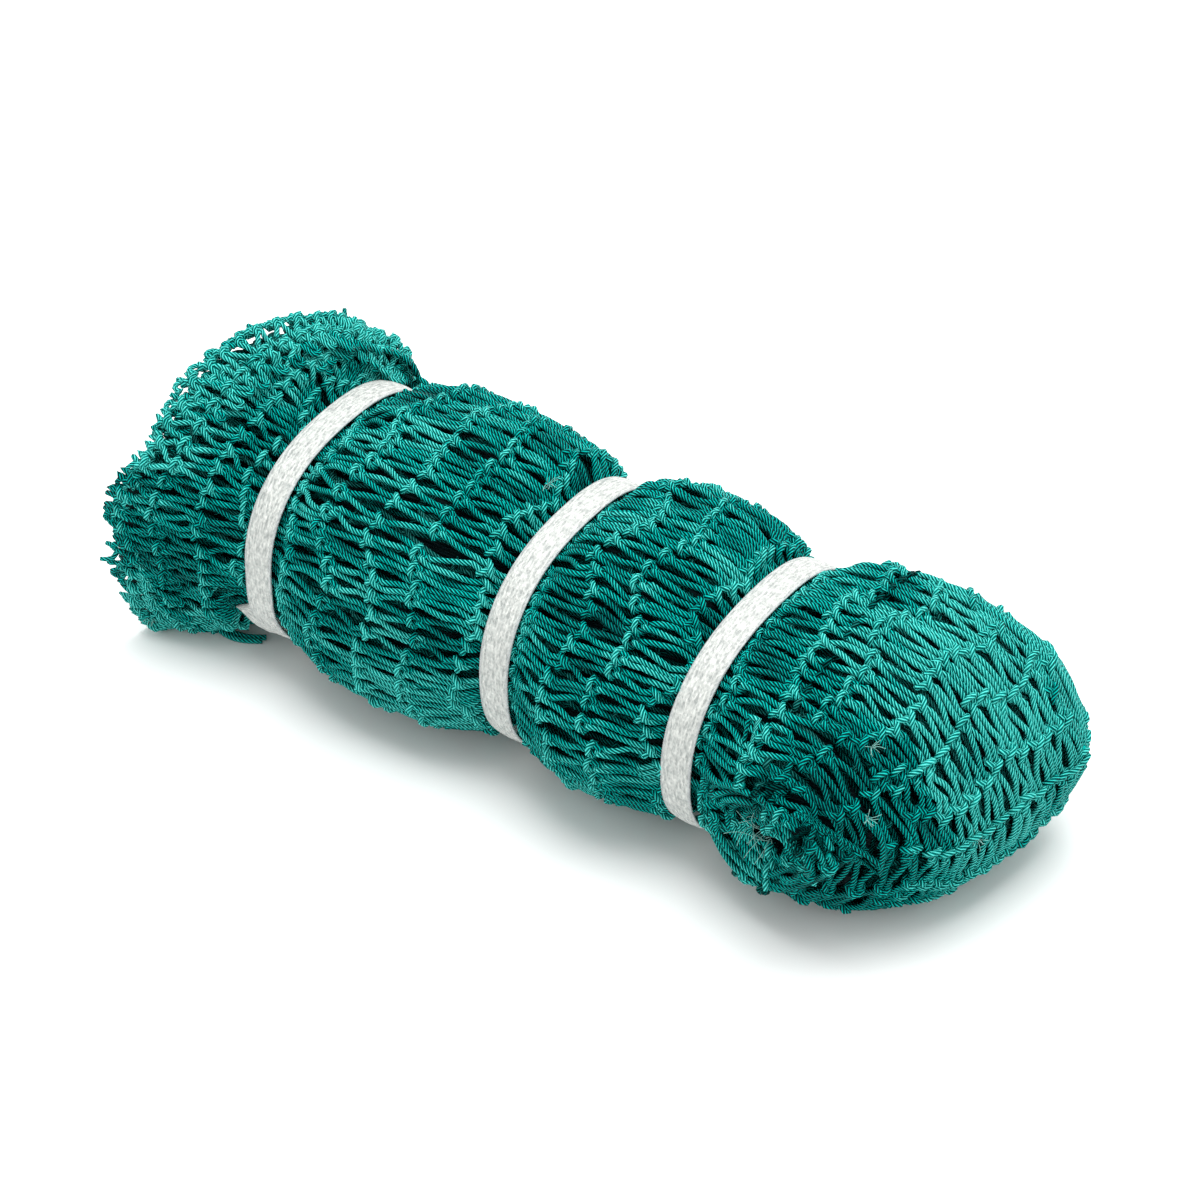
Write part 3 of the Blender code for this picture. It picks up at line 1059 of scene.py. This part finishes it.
class NET_OT_mouth(bpy.types.Operator):
    """Lays the inner folds of net that show in the open end"""

    bl_idname = "net.mouth"
    bl_label = "Open end"

    def execute(self, context):
        size = twine_mm()
        twine = Twine(size / 2, 5)
        for seed, values in enumerate(MOUTH):
            fold = dict(zip(MOUTH_COLUMNS, values))
            lines = fold.pop("lines")
            sheet = bundle().mouth_sheet(**fold, seed=seed + 1)
            net = Net(sheet, lines, 0.0, 31 + seed, size, slack=1.8)
            lay_body(twine, net, range(-1, 1), size / 2)
        finished(twine.build("net_mouth"), twine_finish(), NET_SLOT, NET_NODE)
        return {"FINISHED"}


EYE_LINES = {-1.0: 4, 1.0: 6}


class NET_OT_curls(bpy.types.Operator):
    """Lays the curls of net round the eyes at both sides of the folded end"""

    bl_idname = "net.curls"
    bl_label = "Curls"

    def execute(self, context):
        size = twine_mm()
        for name, side in (("net_curl_near", -1.0), ("net_curl_far", 1.0)):
            twine = Twine(size / 2, 6)
            sheet, lines = bundle().eye_sheet(side), EYE_LINES[side]
            net = Net(sheet, lines, 0.2, 47, size, wander=0.9, slack=1.3, eye=True)
            for row in range(Bundle.EYE_ROWS):
                low = "loop" if row == 0 else "hitch"
                lay_band(twine, net, size / 2, row, np.arange(net.slots), False, low=low)
            finished(twine.build(name), twine_finish(), NET_SLOT, NET_NODE)
        return {"FINISHED"}


EYE_HAIRS = 22
RIM_STUBS = 36
TUFT_HAIRS = 9
TUFTS = ((0.2, 0.09), (0.1, 0.60), (16.2, 0.36), (17.6, 0.40), (8.0, 0.24), (19.0, 0.30))


def wisp(start, way, length, rng, bend=0.5, count=7):
    """A short curved line that leaves a place in a direction."""
    aside = unit(np.cross(way, rng.normal(size=3)))
    steps = np.linspace(0.0, 1.0, count)[:, None]
    return start + length * (way * steps + aside * bend * rng.uniform(0.3, 1.0) * steps ** 2)


class NET_OT_ends(bpy.types.Operator):
    """Adds the cut ends along the rim, the loose end under it, the tufts and the frayed hairs"""

    bl_idname = "net.ends"
    bl_label = "Loose ends"

    def execute(self, context):
        size = twine_mm()
        rng = np.random.default_rng(71)
        body = bundle().body
        stubs = Twine(size / 2, 6)
        for turn in rng.uniform(0.0, 1.0, RIM_STUBS):
            row = rng.uniform(-0.15, 0.15)
            out = body.out(row, turn)
            start = body.place(row, turn) + out * (flared(turn) + rng.uniform(-2.5, 1.0))
            back = np.array([-1.0, 0.0, 0.0]) * rng.uniform(0.1, 1.0)
            way = unit(back + out * rng.uniform(0.0, 0.9) + 0.5 * rng.normal(size=3))
            path = laid_on_floor(wisp(start, way, rng.uniform(2.4, 4.8), rng), size / 2)
            stubs.sweep(path, False, 0.2, size / 2 * np.linspace(1.0, 0.8, len(path)))
        for path in loose_end(body):
            stubs.sweep(path, False, 0.1)
        finished(stubs.build("net_cut_ends"), twine_finish(), NET_SLOT, NET_NODE)

        hairs = Twine(0.11, 3)
        x, z = bundle().eye
        nearby = (x - 3.0, -120.0, z + 1.0)
        root = np.array(bundle().ground.hit(nearby, (0.0, 1.0, 0.0), 118.0))
        for _ in range(EYE_HAIRS):
            way = unit(np.array([-0.7, -0.8, 0.1]) + 0.75 * rng.normal(size=3))
            start = root + rng.normal(size=3) * (3.0, 0.8, 3.5)
            hairs.sweep(wisp(start, way, rng.uniform(5.0, 12.0), rng, 1.1), False, 0.0)
        for row, turn in TUFTS:
            sheet = body if row < Bundle.BODY_ROWS else bundle().zones[2][0]
            start, out = sheet.place(row, turn), sheet.out(row, turn)
            for _ in range(TUFT_HAIRS):
                way = unit(out + 0.6 * rng.normal(size=3))
                hairs.sweep(wisp(start, way, rng.uniform(2.5, 5.5), rng, 0.6, 5), False, 0.0)
        finished(hairs.build("net_frayed_hairs"), fuzz_finish(), NET_SLOT, NET_NODE)
        return {"FINISHED"}


LOOSE_FROM = (1.1, 0.64)  # a row and a turn
LOOSE_RUN = (20.0, 4.0, 0.0)
LOOSE_FLOOR = 1.3


def loose_end(body):
    """The doubled twine end that lies under the open end's near side."""
    start = body.place(*LOOSE_FROM)
    run = np.linspace(0.0, 1.0, 12)
    paths = []
    for aside in (0.0, 2.4):
        path = start + run[:, None] * LOOSE_RUN + (0.0, aside, 0.0)
        path[:, 1] -= 3.0 * np.sin(math.pi * run)
        path[:, 2] = LOOSE_FLOOR + (start[2] - LOOSE_FLOOR) * (1.0 - run) ** 3
        paths.append(path)
    return paths


class Strip:
    """A flat tape swept along a line, a thin closed form with its own map."""

    CROWN = 0.7
    UNDERSIDE = (
        (-1.0, -0.35), (-0.94, -0.5), (-0.5, -0.5), (0.0, -0.5), (0.5, -0.5), (0.94, -0.5),
        (1.0, -0.35),
    )

    def __init__(self, name, middles, sideways, outs, halves, thick):
        under = np.array(self.UNDERSIDE)
        profile = np.concatenate([under, -under])
        across, up = profile[None, :, :1], profile[None, :, 1:]
        points = (
            middles[:, None]
            + sideways[:, None] * (halves[:, None, None] * across)
            + outs[:, None] * (thick * up + self.CROWN * (1.0 - across ** 2))
        )
        count, sides = len(middles), len(profile)
        faces = []
        for low in range(0, (count - 1) * sides, sides):
            high = low + sides
            for s in range(sides):
                after = (s + 1) % sides
                faces.append((low + s, high + s, high + after, low + after))
        faces.append(tuple(range(sides)))
        faces.append(tuple((count - 1) * sides + s for s in reversed(range(sides))))
        mesh = bpy.data.meshes.new(name)
        mesh.from_pydata((points.reshape(-1, 3) * MM).tolist(), [], faces)
        length = np.append(0.0, np.cumsum(np.linalg.norm(np.diff(middles, axis=0), axis=1)))
        self.length = length[-1]
        layer = mesh.uv_layers.new(name="lay")
        for corner in mesh.loops:
            i, s = divmod(corner.vertex_index, sides)
            layer.data[corner.index].uv = (profile[s, 0] * 0.5 + 0.5, length[i])
        self.obj = new_object(name, mesh)


# Tape 1's free end in millimetres, from its tip: aside of the tape, y, z, then how far it
# leans in degrees, and half its width.
TAIL = (
    (-17.0, -46.0, 26.3, 56.0, 0.3),
    (-14.0, -46.0, 27.2, 56.0, 2.5),
    (-11.0, -46.0, 28.2, 56.0, 5.0),
    (-7.4, -46.0, 27.0, 56.0, 6.0),
    (-3.4, -45.8, 25.2, 50.0, 6.0),
    (1.5, -45.3, 23.8, 41.0, 6.0),
    (2.4, -41.0, 18.5, 24.0, 6.0),
    (1.4, -34.0, 13.0, 6.0, 6.0),
    (0.4, -26.0, 8.5, 0.0, 6.0),
)


def tail_line(station):
    """The free end: its middles, its sideways directions and its half widths."""
    count = len(TAIL)
    steps = np.linspace(0.0, count - 1.0, 3 * count)
    line = np.stack([np.interp(steps, range(count), column) for column in zip(*TAIL)], 1)
    lean = np.radians(line[:, 3])
    sideways = -np.stack([np.cos(lean), 0 * lean, np.sin(lean)], 1)
    return line[:, :3] + (station, 0.0, 0.0), sideways, line[:, 4]


TAPE_START = 0.68
TAIL_START = 0.70
TAPE_END = 1.79
TAPE_STEP = 0.0085
LAP_FROM = 1.60
TAIL_LAP_FROM = 1.49
LAP_LIFT = 1.3
TAPE_LIFT = 0.2
TAPE_SWAY = 0.35
TAPE_LOWEST = 0.6


def build_tape(node, tail, width, thick, slant):
    """Winds one tape round the bundle; its second lap lies over its start."""
    ground = bundle().ground
    low, high = box_mm(node)
    station = tape_stations()[TAPE_NODES.index(node)]
    turns = np.arange(TAIL_START if tail else TAPE_START, TAPE_END, TAPE_STEP)
    middle = np.array([0.0, 0.0, (low[2] + high[2]) / 2])
    base = []
    for turn in turns:
        way = bundle().way(turn % 1.0)
        x = station + slant * way[1] * 50.0
        base.append(ground.outside(middle + (x, 0, 0), way))
    base = np.array(base)
    base[1:-1] = (base[:-2] + 2 * base[1:-1] + base[2:]) / 4
    tangent = unit(np.gradient(base, axis=0))
    sideways = np.tile([-1.0, 0.0, 0.0], (len(base), 1))
    sideways = unit(sideways - tangent * (sideways * tangent).sum(1)[:, None])
    outs = np.cross(sideways, tangent)
    lifts = TAPE_LIFT + LAP_LIFT * ease((turns - (TAIL_LAP_FROM if tail else LAP_FROM)) / 0.06)
    sway = TAPE_SWAY * np.sin(TURN * (2.3 * turns + station * 0.01))
    base = base + outs * lifts[:, None] + sideways * sway[:, None]
    base[:, 2] = np.maximum(base[:, 2], TAPE_LOWEST)
    halves = np.full(len(base), width / 2)
    if tail:
        free, aside, narrow = tail_line(station)
        base = np.concatenate([free, base])
        sideways = np.concatenate([aside, sideways])
        halves = np.concatenate([narrow, halves])
        outs = unit(np.cross(sideways, unit(np.gradient(base, axis=0))))
    return Strip(node + "_weave", base, sideways, outs, halves, thick)


class NET_OT_tapes(bpy.types.Operator):
    """Winds the three tapes round the bundle"""

    bl_idname = "net.tapes"
    bl_label = "Tapes"

    def execute(self, context):
        sizes = context.scene.tape_sizes
        for node, tail, slant in zip(TAPE_NODES, (True, False, False), (0.0, 0.0, 0.04)):
            strip = build_tape(node, tail, sizes.width / MM, sizes.thick / MM, slant)
            finished(strip.obj, tape_finish(), TAPE_SLOT, node)
            strip.obj.data.shade_smooth()
        return {"FINISHED"}


# ---- stage ----


FLOOR_SIZE = 14.0
FLOOR_HEIGHT = -0.0002
LIGHT_PLACE = (0.02, 0.12, 1.3)
LIGHT_SIZE = 1.1
LIGHT_POWER = 20.0


class STAGE_OT_floor(bpy.types.Operator):
    """Sets the plain floor, the soft light and the camera"""

    bl_idname = "stage.floor"
    bl_label = "Floor, light and camera"

    def execute(self, context):
        scene = context.scene
        bpy.ops.object.select_all(action="DESELECT")
        bpy.ops.mesh.primitive_plane_add(size=FLOOR_SIZE, location=(0.0, 0.0, FLOOR_HEIGHT))
        floor = context.active_object
        floor.name = "floor"
        bpy.ops.object.transform_apply(location=True, rotation=False, scale=False)
        floor.data.materials.append(floor_finish())
        set_world(scene)
        add_light("overhead", LIGHT_PLACE, LIGHT_SIZE, LIGHT_POWER)
        set_camera(scene)
        scene.view_settings.view_transform = "Standard"
        return {"FINISHED"}


def set_world(scene):
    """An even white surrounding light."""
    world = bpy.data.worlds.new("soft white")
    world.use_nodes = True
    background = world.node_tree.nodes["Background"]
    background.inputs["Color"].default_value = (1.0, 1.0, 1.0, 1.0)
    background.inputs["Strength"].default_value = 1.0
    scene.world = world


def add_light(name, place, size, power):
    """A square soft light that points at the bundle."""
    light = bpy.data.lights.new(name, "AREA")
    light.size = size
    light.energy = power
    obj = bpy.data.objects.new(name, light)
    obj.location = place
    obj.rotation_mode = "QUATERNION"
    obj.rotation_quaternion = (Vector((0, 0, 0.05)) - obj.location).to_track_quat("-Z", "Y")
    bpy.context.scene.collection.objects.link(obj)


AZIMUTH = 33.8
ELEVATION = 40.9
DISTANCE = 1.122
AIM = (-0.0154, 0.0002, 0.050)
AIM_ASIDE = 0.0167
LENS = 92.6


def set_camera(scene):
    """A long lens from the near right, looking down at the bundle."""
    a, e = math.radians(AZIMUTH), math.radians(ELEVATION)
    back = Vector((math.sin(a) * math.cos(e), -math.cos(a) * math.cos(e), math.sin(e)))
    right = Vector((math.cos(a), math.sin(a), 0.0))
    data = bpy.data.cameras.new("camera")
    data.lens = LENS
    data.sensor_width = 36.0
    data.clip_start, data.clip_end = 0.05, 50.0
    camera = bpy.data.objects.new("camera", data)
    camera.location = Vector(AIM) + right * AIM_ASIDE + back * DISTANCE
    camera.rotation_mode = "QUATERNION"
    camera.rotation_quaternion = (-back).to_track_quat("-Z", "Y")
    scene.collection.objects.link(camera)
    scene.camera = camera


class NET_PT_panel(bpy.types.Panel):
    """The net's sizes, colours and pieces"""

    bl_idname = "NET_PT_panel"
    bl_label = "Bundled net"
    bl_space_type = "VIEW_3D"
    bl_region_type = "UI"
    bl_category = "Net"

    def draw(self, context):
        layout = self.layout
        scene = context.scene
        for group in (scene.net_sizes, scene.net_colours, scene.tape_sizes):
            box = layout.box()
            for name in settings_of(group):
                box.prop(group, name)
        for operator in OPERATORS:
            layout.operator(operator.bl_idname)


GROUPS = {"net_sizes": NetSizes, "net_colours": NetColours, "tape_sizes": TapeSizes}
OPERATORS = (
    NET_OT_core, NET_OT_inner, NET_OT_outer, NET_OT_mouth, NET_OT_curls, NET_OT_ends, NET_OT_tapes,
    STAGE_OT_floor,
)


def register():
    for name, group in GROUPS.items():
        bpy.utils.register_class(group)
        setattr(bpy.types.Scene, name, PointerProperty(type=group))
    for each in (*OPERATORS, NET_PT_panel):
        bpy.utils.register_class(each)


def unregister():
    for each in (NET_PT_panel, *reversed(OPERATORS)):
        bpy.utils.unregister_class(each)
    for name, group in GROUPS.items():
        delattr(bpy.types.Scene, name)
        bpy.utils.unregister_class(group)


def main():
    """Builds every piece and the stage."""
    register()
    bpy.ops.stage.floor()
    bpy.ops.net.core()
    bpy.ops.net.inner()
    bpy.ops.net.outer()
    bpy.ops.net.mouth()
    bpy.ops.net.curls()
    bpy.ops.net.ends()
    bpy.ops.net.tapes()


if __name__ == "__main__":
    main()
